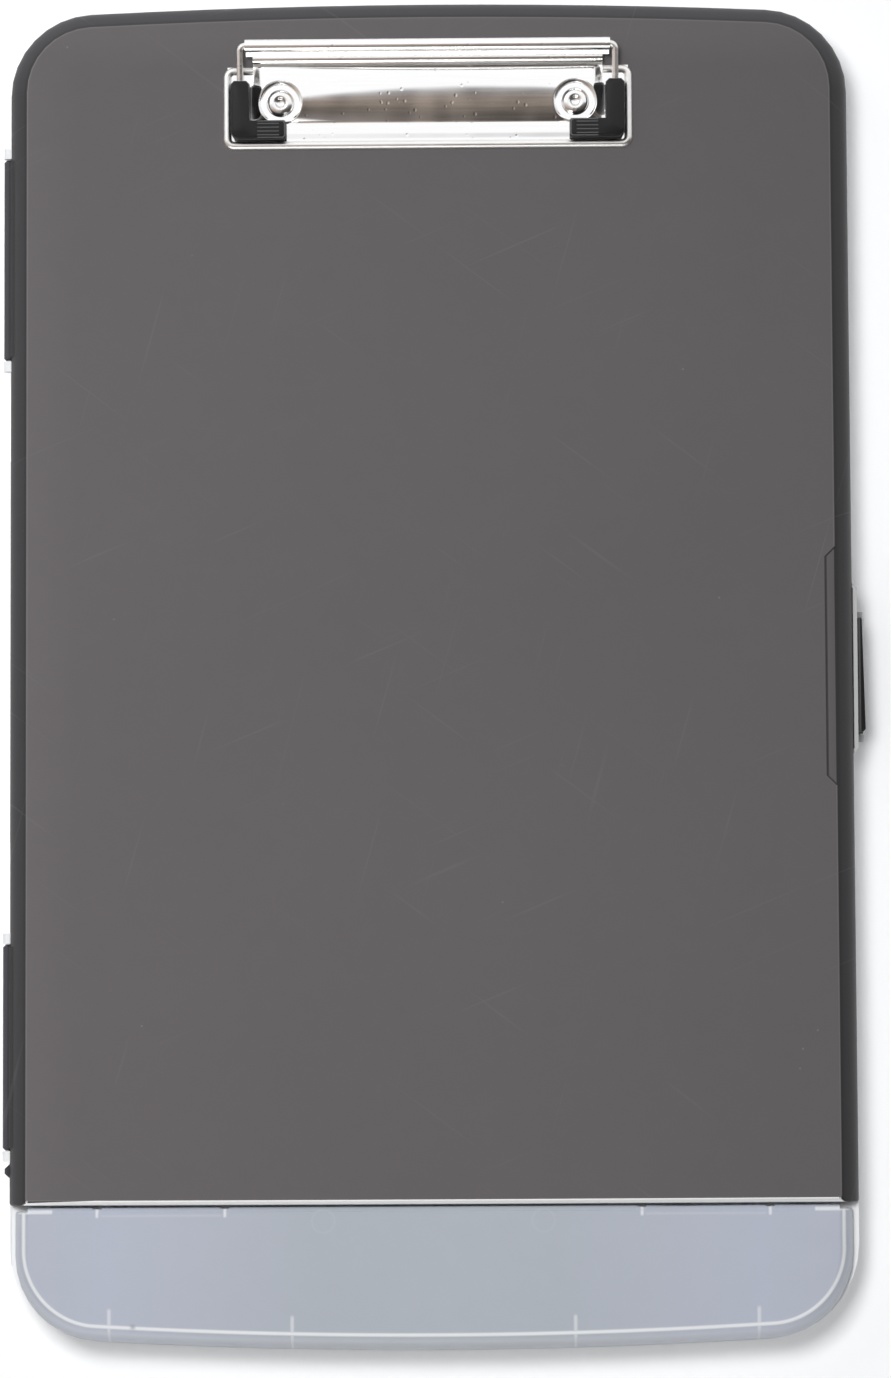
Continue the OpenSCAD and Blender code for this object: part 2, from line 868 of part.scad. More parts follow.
// Rounded bead along the plate's sides and front, turning in at the back corners
module edge_bead() {
    r = bead_r;
    hx = clip_w / 2 - r;
    y0 = clip_front_y + r;
    y1 = crown_back_y - r;
    bend = bead_r + 0.15;
    z = land_z - r * 0.35;
    intersection() {
        both_sides() {
            rod_y(hx, y0 + bend, y1 - bend, z, r);
            rod_x(-eps, hx - bend, y0, z, r);
            translate([hx - bend, y0 + bend, z])
                rotate([0, 0, -90])
                    rotate_extrude(angle = 90)
                        translate([bend, 0])
                            circle(r = r);
            translate([hx - bend, y1 - bend, z])
                rotate_extrude(angle = 90)
                    translate([bend, 0])
                        circle(r = r);
            rod_x(hx - bend - 3, hx - bend, y1, z, r);
        }
        box([-clip_w, clip_front_y - 1, board_z], [clip_w, pivot_y, board_z + 10]);
    }
}

module clip_plate() {
    hw = clip_w / 2 - bead_r * 0.8;
    color(chrome)
        difference() {
            union() {
                difference() {
                    union() {
                        box(
                            [-hw, clip_front_y + bead_r * 0.8, board_z],
                            [hw, crown_back_y - 0.5, land_z]
                        );
                        crown(0);
                    }
                    crown(sheet_t);
                }
                edge_bead();
                for (s = [-1, 1])
                    translate([s * rivet_x, rivet_y, 0])
                        intersection() {
                            translate([0, 0, board_z])
                                cylinder(r = seat_r + sheet_t, h = seat_z - board_z);
                            box(
                                [-2 * seat_r, -2 * seat_r, board_z],
                                [2 * seat_r, crown_back_y - rivet_y, seat_z]
                            );
                        }
                // Rear strip, upright web and the bead that the lever turns on
                box(
                    [-curl_hw, crown_back_y - 1, board_z],
                    [curl_hw, pivot_y + curl_web_t / 2, land_z - 0.2]
                );
                box(
                    [-curl_hw, pivot_y - curl_web_t / 2, board_z],
                    [curl_hw, pivot_y + curl_web_t / 2, pivot_z]
                );
                rod_x(-curl_hw, curl_hw, pivot_y, pivot_z, curl_r);
            }
            for (s = [-1, 1])
                translate([s * rivet_x, rivet_y, 0]) {
                    translate([0, 0, seat_z])
                        cylinder(r = seat_r, h = 20);
                    cylinder(r = rivet_r, h = board_z + 20);
                }
        }
}

// Side view of the lever's hook in Y and Z, measured from the pivot
module hook_profile() {
    from_a = -20;
    to_a = 165;
    difference() {
        circle(r = lever_r);
        circle(r = curl_r + pivot_fit);
        polygon(concat([[0, 0]], arc([0, 0], 3 * lever_r, to_a, 360 + from_a, 8)));
    }
}

// Side view of the web that rises from the hook to the tube
module web_profile() {
    a = 68;
    from = (lever_r - lever_t / 2) * [cos(a), sin(a)];
    along = [tube_back, tube_up] - from;
    difference() {
        translate(from)
            rotate(atan2(along.y, along.x))
                translate([0, -lever_t / 2])
                    square([norm(along) - tube_r + 0.4, lever_t]);
        circle(r = curl_r + pivot_fit);
    }
}

module lever_strip(half) {
    translate([-half, pivot_y, pivot_z])
        rotate([90, 0, 90])
            linear_extrude(2 * half)
                children();
}

module clip_lever() {
    color(chrome)
        difference() {
            union() {
                lever_strip(curl_hw)
                    hook_profile();
                lever_strip(web_hw)
                    web_profile();
                rod_x(-tube_hw, tube_hw, tube_y, tube_z, tube_r);
            }
            rod_x(-clip_w, clip_w, tube_y, tube_z, wire_r + pivot_fit);
        }
}

function unit(v) = v / norm(v);

function bend_at(a, b, c, r, n) =
    let (
        u = unit(a - b), w = unit(c - b),
        half = acos(u * w) / 2,
        t = r / tan(half),
        centre = b + unit(u + w) * r / sin(half),
        p0 = b + u * t - centre, p1 = b + w * t - centre,
        sweep = acos(min(1, max(-1, (p0 * p1) / (r * r))))
    )
    [for (i = [0:n]) let (k = i / n)
        centre + (p0 * sin((1 - k) * sweep) + p1 * sin(k * sweep)) / sin(sweep)];

// Path with its corners rounded, from a list of [point, bend radius]
function rounded_path(p) =
    concat(
        [p[0][0]],
        [for (i = [1:len(p) - 2]) each bend_at(p[i - 1][0], p[i][0], p[i + 1][0], p[i][1], 5)],
        [p[len(p) - 1][0]]
    );

// Round wire along a path: rings square to the path, each turned the same way up
module wire(path, r, sides) {
    n = len(path);
    skin([
        for (i = [0:n - 1])
            let (
                d = unit(path[min(i + 1, n - 1)] - path[max(i - 1, 0)]),
                side = unit(cross([0, 0.25, 1], d)),
                up = cross(d, side)
            )
            [for (k = [0:sides - 1]) let (a = 360 * k / sides)
                path[i] + r * (cos(a) * side + sin(a) * up)]
    ]);
}

function half_wire() = [
    [[0, tube_y, tube_z], 0],
    [[arm_x, tube_y, tube_z], wire_bend],
    [[arm_x, boot_front_y + boot_long, wire_z], 5],
    [[arm_x, wire_front_y, wire_z], 2],
    [[arm_x - boot_across + boot_w / 2 + wire_in, wire_front_y, wire_z], 0]
];

module clip_wire() {
    right = rounded_path(half_wire());
    left = [for (i = [len(right) - 1:-1:1]) [-right[i].x, right[i].y, right[i].z]];
    color(steel)
        wire(concat(left, right), wire_r, 12);
}

// Outline of a boot's leg in plan, drawn in by d: the outer corner of the elbow is round
function leg_outline(lo, hi, cut, d) =
    let (
        x0 = lo.x + d,
        x1 = hi.x - d,
        y0 = lo.y + d,
        y1 = hi.y - d,
        r = boot_w / 2 - d
    )
    concat(
        [[x0, y0 + cut], [x0 + cut, y0]],
        arc([x1 - r, y0 + r], r, -90, 0, 6),
        [[x1, y1 - cut], [x1 - cut, y1], [x0 + cut, y1], [x0, y1 - cut]]
    );

module boot_leg(lo, hi, cut) {
    low_z = wire_z - boot_h / 2;
    high_z = wire_z + boot_h / 2;
    steps = [[0.6, low_z], [0, low_z + 0.8], [0, high_z - 1], [0.25, high_z - 0.35], [0.8, high_z]];
    skin([for (s = steps) at_z(leg_outline(lo, hi, cut, s[0]), s[1])]);
}

module boot() {
    top_z = wire_z + boot_h / 2;
    right_x = arm_x + boot_w / 2;
    end_x = right_x - boot_across;
    grip_x = end_x + 2;
    grip_y = wire_front_y - (grip_lines - 1) * grip_step / 2;
    color(black_soft)
        difference() {
            union() {
                boot_leg(
                    [arm_x - boot_w / 2, boot_front_y],
                    [right_x, boot_front_y + boot_long], 1
                );
                boot_leg([end_x, boot_front_y], [right_x, boot_front_y + boot_w], 0.5);
            }
            for (i = [0:grip_lines - 1])
                box(
                    [grip_x, grip_y + i * grip_step - grip_w / 2, top_z - grip_h],
                    [grip_x + grip_l, grip_y + i * grip_step + grip_w / 2, top_z + 1]
                );
            wire(rounded_path(half_wire()), wire_r + 0.02, 12);
        }
}

module boot_right() {
    boot();
}

module boot_left() {
    mirror([1, 0, 0])
        boot();
}

module rivets() {
    under = board_z - lid_t - washer_t;
    color(steel)
        for (s = [-1, 1])
            translate([s * rivet_x, rivet_y, 0])
                rotate_extrude()
                    polygon(concat(
                        [
                            [0, under - foot_h], [rivet_r + foot_out, under - foot_h],
                            [rivet_r + foot_out, under], [rivet_r, under],
                            [rivet_r, seat_z], [rivet_head_r, seat_z]
                        ],
                        arc([rivet_head_r - dome_r, seat_z + dome_h - 1.15], dome_r, 0, 80, 4),
                        [
                            [dimple_r, seat_z + dome_h],
                            [dimple_r - 0.6, seat_z + dome_h - dimple_h],
                            [0, seat_z + dome_h - dimple_h - 0.1]
                        ]
                    ));
}

module rivet_washers() {
    color(steel)
        for (s = [-1, 1])
            translate([s * rivet_x, rivet_y, board_z - lid_t - washer_t])
                difference() {
                    cylinder(r = washer_r, h = washer_t);
                    translate([0, 0, -1])
                        cylinder(r = rivet_r, h = washer_t + 2);
                }
}

base_tray();
lid();
hinge_pin_upper();
hinge_pin_lower();
pen_cover();
latch();
latch_pin();
clip_plate();
clip_lever();
clip_wire();
boot_left();
boot_right();
rivets();
rivet_washers();
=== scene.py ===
# Storage clipboard box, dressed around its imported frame: a clear tray, a charcoal
# writing lid, a frosted pen cover, a side latch and a low chromed wire clip.
import math
import bmesh
import bpy
from mathutils import Matrix, Vector


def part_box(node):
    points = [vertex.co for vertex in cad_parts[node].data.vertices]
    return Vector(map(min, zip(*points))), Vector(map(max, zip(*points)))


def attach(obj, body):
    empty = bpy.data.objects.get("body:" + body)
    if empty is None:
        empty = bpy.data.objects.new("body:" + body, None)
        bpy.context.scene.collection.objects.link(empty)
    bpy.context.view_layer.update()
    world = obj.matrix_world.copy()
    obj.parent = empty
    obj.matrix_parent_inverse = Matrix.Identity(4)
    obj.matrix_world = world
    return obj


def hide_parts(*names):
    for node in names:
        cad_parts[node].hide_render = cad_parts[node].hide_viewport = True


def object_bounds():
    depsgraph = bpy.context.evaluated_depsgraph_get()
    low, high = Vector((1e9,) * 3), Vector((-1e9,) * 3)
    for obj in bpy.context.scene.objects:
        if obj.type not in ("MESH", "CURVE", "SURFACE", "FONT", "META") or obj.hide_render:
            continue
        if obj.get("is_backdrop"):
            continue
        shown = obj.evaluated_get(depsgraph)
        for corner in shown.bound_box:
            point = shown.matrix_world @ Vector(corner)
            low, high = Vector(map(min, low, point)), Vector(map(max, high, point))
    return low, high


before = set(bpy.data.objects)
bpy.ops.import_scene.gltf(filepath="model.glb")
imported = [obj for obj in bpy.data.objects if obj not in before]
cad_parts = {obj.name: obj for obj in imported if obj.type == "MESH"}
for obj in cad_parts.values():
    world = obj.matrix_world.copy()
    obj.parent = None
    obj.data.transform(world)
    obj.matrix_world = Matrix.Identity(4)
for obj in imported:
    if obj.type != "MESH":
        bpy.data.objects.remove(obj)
cad_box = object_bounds()
scene = bpy.context.scene
MM = 0.001

# ---- The table and the light ----
# The box lies on a white table. A soft lamp hangs above it and a weaker one at its upper
# left, a strip lamp stands low beyond the pen end, and the camera looks straight down.

def node_in(tree, kind, settings=None, **sockets):
    """A shader node with its settings and its sockets filled in, from values or other sockets."""
    made = tree.nodes.new("ShaderNode" + kind)
    for name, value in (settings or {}).items():
        setattr(made, name, value)
    for name, value in sockets.items():
        key = int(name[1:]) if name[0] == "i" and name[1:].isdigit() else name.replace("_", " ")
        if isinstance(value, bpy.types.NodeSocket):
            tree.links.new(value, made.inputs[key])
        else:
            made.inputs[key].default_value = value
    return made


def figure(tree, operation, *values, clamp=False):
    """The result of one sum, such as ADD or MULTIPLY."""
    made = node_in(tree, "Math", {"operation": operation, "use_clamp": clamp})
    for socket, value in zip(made.inputs, values):
        if isinstance(value, bpy.types.NodeSocket):
            tree.links.new(value, socket)
        else:
            socket.default_value = value
    return made.outputs[0]


def new_surface(name):
    """A material with an empty node tree and its output."""
    material = bpy.data.materials.new(name)
    material.use_nodes = True
    material.node_tree.nodes.clear()
    return material, material.node_tree, material.node_tree.nodes.new("ShaderNodeOutputMaterial")


scene.view_settings.view_transform = "Standard"

lens = bpy.data.cameras.new("copy_stand_camera")
lens.sensor_fit = "VERTICAL"
lens.sensor_height = 36
lens.lens = 133.88
lens.clip_start = 0.05
lens.clip_end = 30
camera = bpy.data.objects.new("copy_stand_camera", lens)
scene.collection.objects.link(camera)
scene.camera = camera
tilt = (
    Matrix.Rotation(math.radians(0.353), 3, "Z")
    @ Matrix.Rotation(math.radians(-0.696), 3, "Y")
    @ Matrix.Rotation(math.radians(-4.655), 3, "X")
)
stand = tilt.transposed() @ Vector((4.70, -1.00, 1500)) - Vector((0.372, 5.132, -26))
camera.matrix_world = Matrix.Translation(stand * MM) @ tilt.transposed().to_4x4()

floor_mesh = bpy.data.meshes.new("table_top")
shape = bmesh.new()
bmesh.ops.create_grid(shape, x_segments=1, y_segments=1, size=4)
shape.to_mesh(floor_mesh)
shape.free()
floor = bpy.data.objects.new("table_top", floor_mesh)
floor.location.z = -0.0002
scene.collection.objects.link(floor)
floor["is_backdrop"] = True
white_table, tree, out = new_surface("white_table")
path = node_in(tree, "LightPath")
seen = figure(tree, "MULTIPLY", path.outputs["Is Camera Ray"], 0.10)
paint = node_in(tree, "BsdfPrincipled", Base_Color=(0.93, 0.93, 0.935, 1), Roughness=0.6,
                Emission_Color=(1, 1, 1, 1), Emission_Strength=seen)
tree.links.new(paint.outputs[0], out.inputs[0])
floor_mesh.materials.append(white_table)

room = bpy.data.worlds.new("pale_room")
scene.world = room
room.use_nodes = True
tree = room.node_tree
tree.nodes.clear()
path = node_in(tree, "LightPath")
wall = node_in(tree, "Background", Color=(1, 1, 1, 1), Strength=1.0)
fill = node_in(tree, "Background", Color=(0.94, 0.97, 1, 1), Strength=0.28)
ray = node_in(tree, "TexCoord")
up = node_in(tree, "SeparateXYZ", i0=ray.outputs["Generated"])
towards_clip = figure(tree, "MULTIPLY_ADD", up.outputs[1], 0.5, 0.5)
ceiling = node_in(tree, "ValToRGB", i0=towards_clip)
shades = ceiling.color_ramp.elements
shades[0].position, shades[0].color = 0.0, (0.95, 0.95, 0.94, 1)
shades[1].position, shades[1].color = 1.0, (1.0, 1.0, 1.0, 1)
for position, shade in (
    (0.10, (0.95, 0.95, 0.94, 1)), (0.15, (0.12, 0.105, 0.10, 1)),
    (0.262, (0.138, 0.119, 0.104, 1)), (0.315, (0.19, 0.16, 0.137, 1)),
    (0.335, (0.24, 0.20, 0.167, 1)), (0.426, (0.286, 0.24, 0.211, 1)),
    (0.486, (0.33, 0.315, 0.305, 1)), (0.51, (0.42, 0.41, 0.41, 1)),
    (0.534, (0.70, 0.70, 0.70, 1)), (0.552, (0.98, 0.98, 0.99, 1)),
):
    shades.new(position).color = shade
side = figure(tree, "EXPONENT", figure(tree, "MULTIPLY_ADD", up.outputs[0], -47.0, -0.45))
side = figure(tree, "MINIMUM", figure(tree, "MAXIMUM", side, 0.45), 2.1)
dark_part = node_in(tree, "MapRange", Value=towards_clip, From_Min=0.50, From_Max=0.545,
                    To_Min=1.0, To_Max=0.0)
walls = node_in(tree, "Mix", {"data_type": "RGBA", "blend_type": "MULTIPLY"},
                Factor=dark_part.outputs[0])
tree.links.new(ceiling.outputs[0], walls.inputs[6])
tree.links.new(side, walls.inputs[7])
seen_in_metal = node_in(tree, "Background", Color=walls.outputs[2], Strength=1.12)
lit = node_in(tree, "MixShader", i0=path.outputs["Is Glossy Ray"], i1=fill.outputs[0],
              i2=seen_in_metal.outputs[0])
mixed = node_in(tree, "MixShader", i0=path.outputs["Is Camera Ray"], i1=lit.outputs[0],
                i2=wall.outputs[0])
node_in(tree, "OutputWorld", i0=mixed.outputs[0])

for name, place, size, power, mirrored in (
    ("key_lamp", (-0.20, 0.20, 1.40), (0.38, 0.38), 13.4, False),
    ("window_lamp", (-0.80, 0.75, 1.20), (0.50, 0.50), 1.6, True),
    ("strip_lamp", (0.0, -1.0, 0.70), (1.6, 0.05), 1.4, True),
):
    lamp = bpy.data.lights.new(name, "AREA")
    lamp.shape = "RECTANGLE"
    lamp.size, lamp.size_y = size
    lamp.energy = power
    lamp_object = bpy.data.objects.new(name, lamp)
    lamp_object.location = place
    lamp_object.rotation_euler = (-Vector(place)).to_track_quat("-Z", "Y").to_euler()
    lamp_object.visible_glossy = mirrored
    scene.collection.objects.link(lamp_object)

# ---- The tray ----
# One injection moulding in translucent polypropylene: floor, walls, rim, the wall between
# the paper and the pens, and the lugs and rails that the lid and the cover turn on.

def joined_copy(node, name, angle=35, flat_z=None, end_y=-1000):
    """A CAD node's mesh, joined up and shaded smooth, which stands for the node. The flat
    at flat_z, in millimetres, gets a narrow border, so that its corner shades round. The
    border is the piece's second material, and the edge beyond end_y its third one."""
    piece = bpy.data.objects.new(name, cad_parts[node].data.copy())
    scene.collection.objects.link(piece)
    shape = bmesh.new()
    shape.from_mesh(piece.data)
    bmesh.ops.remove_doubles(shape, verts=shape.verts, dist=2e-6)
    border = []
    if flat_z:
        flat = [face for face in shape.faces
                if all(abs(vert.co.z - flat_z * MM) < 1e-5 for vert in face.verts)]
        border = bmesh.ops.inset_region(shape, faces=flat, thickness=0.0003,
                                        use_even_offset=True)["faces"]
    for face in shape.faces:
        face.smooth = True
        face.material_index = 0
    for face in border:
        face.material_index = 1
    for face in shape.faces:
        middle = face.calc_center_median()
        on_end = middle.y < end_y * MM and middle.z > 0.024 and abs(middle.x) < 0.1187
        if on_end:
            face.material_index = 2
    shape.normal_update()
    for edge in shape.edges:
        edge.smooth = edge.is_manifold and edge.calc_face_angle(math.pi) < math.radians(angle)
    piece.data.materials.clear()
    shape.to_mesh(piece.data)
    shape.free()
    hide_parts(node)
    return piece


def effect_group(name, inputs, outputs):
    """An empty shader node group with its named numbers in and out."""
    group = bpy.data.node_groups.new(name, "ShaderNodeTree")
    for label, value in inputs:
        socket = group.interface.new_socket(label, in_out="INPUT", socket_type="NodeSocketFloat")
        socket.default_value = value
    for label in outputs:
        group.interface.new_socket(label, in_out="OUTPUT", socket_type="NodeSocketFloat")
    return group, group.nodes.new("NodeGroupInput"), group.nodes.new("NodeGroupOutput")


# The skin that a textured mould leaves on plastic: a fine grain, a soft unevenness of
# colour, and the hair scratches and dust that it picks up in use.
moulded_skin, given, result = effect_group(
    "moulded_skin",
    (("Grain Scale", 1500.0), ("Unevenness", 0.05), ("Scratches", 0.5), ("Dust", 0.5)),
    ("Tone", "Rub", "Speck", "Height"),
)
place = node_in(moulded_skin, "TexCoord").outputs["Object"]
grain = node_in(moulded_skin, "TexNoise", Vector=place, Scale=given.outputs["Grain Scale"],
                Detail=3.0)
cloud = node_in(moulded_skin, "TexNoise", Vector=place, Scale=9.0, Detail=4.0, Roughness=0.6)
blotch = node_in(moulded_skin, "TexNoise", Vector=place, Scale=160.0, Detail=3.0)
uneven = figure(moulded_skin, "ADD",
                figure(moulded_skin, "MULTIPLY_ADD", cloud.outputs[0], 2.4, -1.2),
                figure(moulded_skin, "MULTIPLY_ADD", blotch.outputs[0], 1.2, -0.6))
hairs = None
for turn in (0.4, 1.3, 2.5):
    along = node_in(moulded_skin, "Mapping", {"vector_type": "TEXTURE"}, Vector=place,
                    Rotation=(0, 0, turn), Scale=(0.06, 0.0011, 0.06))
    hair = node_in(moulded_skin, "TexNoise", Vector=along.outputs[0], Scale=1.0, Detail=1.0)
    line = node_in(moulded_skin, "MapRange", Value=hair.outputs[0], From_Min=0.735, From_Max=0.80)
    hairs = (line.outputs[0] if hairs is None
             else figure(moulded_skin, "MAXIMUM", hairs, line.outputs[0]))
hairs = figure(moulded_skin, "MULTIPLY", hairs, given.outputs["Scratches"], clamp=True)
crumbs = node_in(moulded_skin, "TexVoronoi", Vector=place, Scale=150.0)
crumb = node_in(moulded_skin, "MapRange", Value=crumbs.outputs["Distance"], From_Min=0.03,
                From_Max=0.06, To_Min=1.0, To_Max=0.0)
rare = node_in(moulded_skin, "TexNoise", Vector=place, Scale=40.0, Detail=1.0)
here = node_in(moulded_skin, "MapRange", Value=rare.outputs[0], From_Min=0.60, From_Max=0.66)
speck = figure(moulded_skin, "MULTIPLY", figure(moulded_skin, "MULTIPLY", crumb.outputs[0],
                                                here.outputs[0]), given.outputs["Dust"])
for label, value in (
    ("Tone", figure(moulded_skin, "MULTIPLY_ADD", uneven, given.outputs["Unevenness"], 1.0)),
    ("Rub", hairs), ("Speck", speck),
    ("Height", figure(moulded_skin, "SUBTRACT", grain.outputs[0], figure(moulded_skin, "MULTIPLY",
                                                                         hairs, 0.5))),
):
    moulded_skin.links.new(value, result.inputs[label])


def with_effect(tree, group, **amounts):
    """A node group placed in a material with its own amounts."""
    made = tree.nodes.new("ShaderNodeGroup")
    made.node_tree = group
    for name, amount in amounts.items():
        made.inputs[name.replace("_", " ")].default_value = amount
    return made.outputs


def blend(tree, mode, amount, first, second):
    """Two colours mixed in one of the mix node's modes."""
    made = node_in(tree, "Mix", {"data_type": "RGBA", "blend_type": mode}, Factor=amount)
    for socket, colour in ((made.inputs[6], first), (made.inputs[7], second)):
        if isinstance(colour, bpy.types.NodeSocket):
            tree.links.new(colour, socket)
        else:
            socket.default_value = colour
    return made.outputs[2]


clear_skin, tree, out = new_surface("frosted_polypropylene")
skin = with_effect(tree, moulded_skin, Grain_Scale=2600.0, Unevenness=0.03, Scratches=0.6,
                   Dust=0.3)
colour = blend(tree, "MULTIPLY", 1.0, (0.97, 0.98, 0.985, 1), skin["Tone"])
xyz = node_in(tree, "SeparateXYZ", i0=node_in(tree, "TexCoord").outputs["Object"])
# Painted shade: the tray's side beside the latch is greyed, where the flap shades it.
painted_latch_shade = figure(tree, "MULTIPLY", figure(tree, "GREATER_THAN", xyz.outputs[0], 0.1225),
                    node_in(tree, "MapRange", Value=figure(tree, "ABSOLUTE", xyz.outputs[1]),
                            From_Min=0.046, From_Max=0.052, To_Min=1.0, To_Max=0.0).outputs[0])
colour = blend(tree, "MIX", painted_latch_shade, colour, (0.55, 0.55, 0.55, 1))
dents = node_in(tree, "Bump", Strength=0.25, Distance=0.00005, Height=skin["Height"])
shell = node_in(tree, "BsdfPrincipled", Base_Color=colour,
                Roughness=figure(tree, "MULTIPLY_ADD", skin["Rub"], 0.15, 0.42),
                Transmission_Weight=0.10, IOR=1.49, Normal=dents.outputs[0])
tree.links.new(shell.outputs[0], out.inputs[0])
tray = joined_copy("base_tray", "tray_moulding")
tray.data.materials.append(clear_skin)
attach(tray, "tray")

# ---- The lid ----
# The writing board, moulded in charcoal with a fine grain, with a falling bevel round
# it and a skirt that closes on the tray. Its two long barrels turn on the left side.

crease_x, notch_x, notch_side, notch_end = 0.1184, 0.1157, 0.0322, 0.045
board_z = 0.02598


def charcoal(name, board, rim, rough):
    """Charcoal plastic. The rim is painted darker than the board, as painted shade on its sloping
    sides.
    """
    material, tree, out = new_surface(name)
    skin = with_effect(tree, moulded_skin, Grain_Scale=1500.0, Unevenness=0.05, Scratches=0.4,
                       Dust=0.5)
    xyz = node_in(tree, "SeparateXYZ", i0=node_in(tree, "TexCoord").outputs["Object"])
    on_board = node_in(tree, "MapRange", Value=xyz.outputs[2], From_Min=0.0259,
                       From_Max=board_z)
    from_middle = figure(tree, "ABSOLUTE", xyz.outputs[1])
    in_notch = figure(tree, "MULTIPLY", figure(tree, "LESS_THAN", xyz.outputs[0], crease_x),
                      figure(tree, "LESS_THAN", from_middle, notch_end))
    in_notch = figure(tree, "MULTIPLY", in_notch,
                      figure(tree, "GREATER_THAN", xyz.outputs[2], 0.025))
    in_notch = figure(tree, "MULTIPLY", in_notch,
                      figure(tree, "GREATER_THAN", xyz.outputs[0], 0.11))
    # Painted shade darkens the rim next to the board's crease, and painted light makes the rim
    # paler along the top end.
    crease = node_in(tree, "MapRange", Value=xyz.outputs[2], From_Min=0.0253, From_Max=0.0257,
                     To_Min=1.0, To_Max=0.72)
    painted_top_rim_light = node_in(tree, "MapRange", Value=xyz.outputs[1], From_Min=0.17, From_Max=0.19,
                      To_Min=1.0, To_Max=1.7)
    rim = blend(tree, "MULTIPLY", 1.0, rim, figure(tree, "MULTIPLY", crease.outputs[0],
                                                   painted_top_rim_light.outputs[0]))
    zone = blend(tree, "MIX", figure(tree, "MAXIMUM", on_board.outputs[0], in_notch), rim, board)
    # Painted light: the lid is paler towards the left and the top, and paler still near the board's
    # left and top edges.
    painted_light_falloff = figure(tree, "MULTIPLY_ADD", xyz.outputs[1], -0.3,
                   figure(tree, "MULTIPLY_ADD", xyz.outputs[0], -0.7, 1.03))
    painted_left_edge_light = node_in(tree, "MapRange", Value=xyz.outputs[0], From_Min=-0.104,
                          From_Max=-0.118, To_Max=0.10)
    painted_top_edge_light = node_in(tree, "MapRange", Value=xyz.outputs[1], From_Min=0.178, From_Max=0.188,
                         To_Max=0.12)
    painted_light_falloff = figure(tree, "ADD", painted_light_falloff, figure(tree, "MAXIMUM", painted_left_edge_light.outputs[0],
                                              painted_top_edge_light.outputs[0]))
    zone = blend(tree, "MULTIPLY", 1.0, zone, painted_light_falloff)
    # Painted sheen: the barrels are coloured a lighter bluish grey for the light on their outer
    # side.
    painted_barrel_sheen = figure(tree, "LESS_THAN", xyz.outputs[0], -0.1246)
    zone = blend(tree, "MIX", painted_barrel_sheen, zone, (0.052, 0.052, 0.061, 1))
    # Painted shade: a dark line along the step round the notch, where its low wall shades the
    # board.
    corner = figure(tree, "MAXIMUM", figure(tree, "SUBTRACT", from_middle, notch_side), 0.0)
    into_notch = figure(tree, "SUBTRACT", figure(tree, "SUBTRACT", xyz.outputs[0], notch_x), corner)
    painted_notch_shade = figure(tree, "MULTIPLY", figure(tree, "LESS_THAN", figure(
        tree, "ABSOLUTE", figure(tree, "SUBTRACT", into_notch, 0.00015)), 0.0004),
        figure(tree, "LESS_THAN", xyz.outputs[0], crease_x))
    zone = blend(tree, "MIX", painted_notch_shade, zone, (0.042, 0.039, 0.040, 1))
    colour = blend(tree, "MULTIPLY", 1.0, zone, skin["Tone"])
    colour = blend(tree, "MIX", figure(tree, "MULTIPLY", skin["Rub"], 0.10), colour,
                   (0.45, 0.44, 0.44, 1))
    colour = blend(tree, "MIX", figure(tree, "MULTIPLY", skin["Speck"], 0.25), colour,
                   (0.6, 0.59, 0.58, 1))
    dents = node_in(tree, "Bump", Strength=0.3, Distance=0.0001, Height=skin["Height"])
    surface = node_in(tree, "BsdfPrincipled", Base_Color=colour, Specular_IOR_Level=0.4,
                      Roughness=figure(tree, "MULTIPLY_ADD", skin["Rub"], -0.1, rough),
                      Normal=dents.outputs[0])
    tree.links.new(surface.outputs[0], out.inputs[0])
    return material


lid = joined_copy("lid", "lid_moulding", 42, flat_z=26.0, end_y=-154.95)
lid.data.materials.append(charcoal("charcoal_grain", (0.105, 0.097, 0.099, 1),
                                   (0.027, 0.026, 0.028, 1), 0.52))
# The board's narrow border is paler and glossier, partly as wear and partly as a painted highlight
# along the crease.
lid.data.materials.append(charcoal("charcoal_worn_edge_and_sheen", (0.13, 0.122, 0.124, 1),
                                   (0.027, 0.026, 0.028, 1), 0.30))
# Painted highlight: the lid's end edge at the seam is coloured near white for the light it catches.
lid.data.materials.append(charcoal("charcoal_painted_seam_highlight", (0.97, 0.96, 0.95, 1),
                                   (0.97, 0.96, 0.95, 1), 0.18))
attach(lid, "lid")

# ---- The pen cover ----
# The plug wall, its gussets and the posts stand against its underside; the light they carry through
# it is painted into its colour as paler lines.

cover = joined_copy("pen_cover", "cover_moulding", 40, flat_z=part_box("pen_cover")[1].z / MM)
milky, tree, out = new_surface("milky_polypropylene")
skin = with_effect(tree, moulded_skin, Grain_Scale=2600.0, Unevenness=0.03, Scratches=0.5,
                   Dust=0.3)
xyz = node_in(tree, "SeparateXYZ", i0=node_in(tree, "TexCoord").outputs["Object"])
across = figure(tree, "MULTIPLY", figure(tree, "ABSOLUTE", xyz.outputs[0]), 1000.0)
along = figure(tree, "MULTIPLY", xyz.outputs[1], 1000.0)


def band(value, centre, half, soft=0.25):
    """1 where a value lies within half of its centre, falling to 0 over a soft edge."""
    off = figure(tree, "ABSOLUTE", figure(tree, "SUBTRACT", value, centre))
    return node_in(tree, "MapRange", Value=off, From_Min=half - soft, From_Max=half + soft,
                   To_Min=1.0, To_Max=0.0).outputs[0]


def shown(mask, amount, others):
    """The larger of a mask and the ones before it."""
    return figure(tree, "MAXIMUM", figure(tree, "MULTIPLY", mask, amount), others)


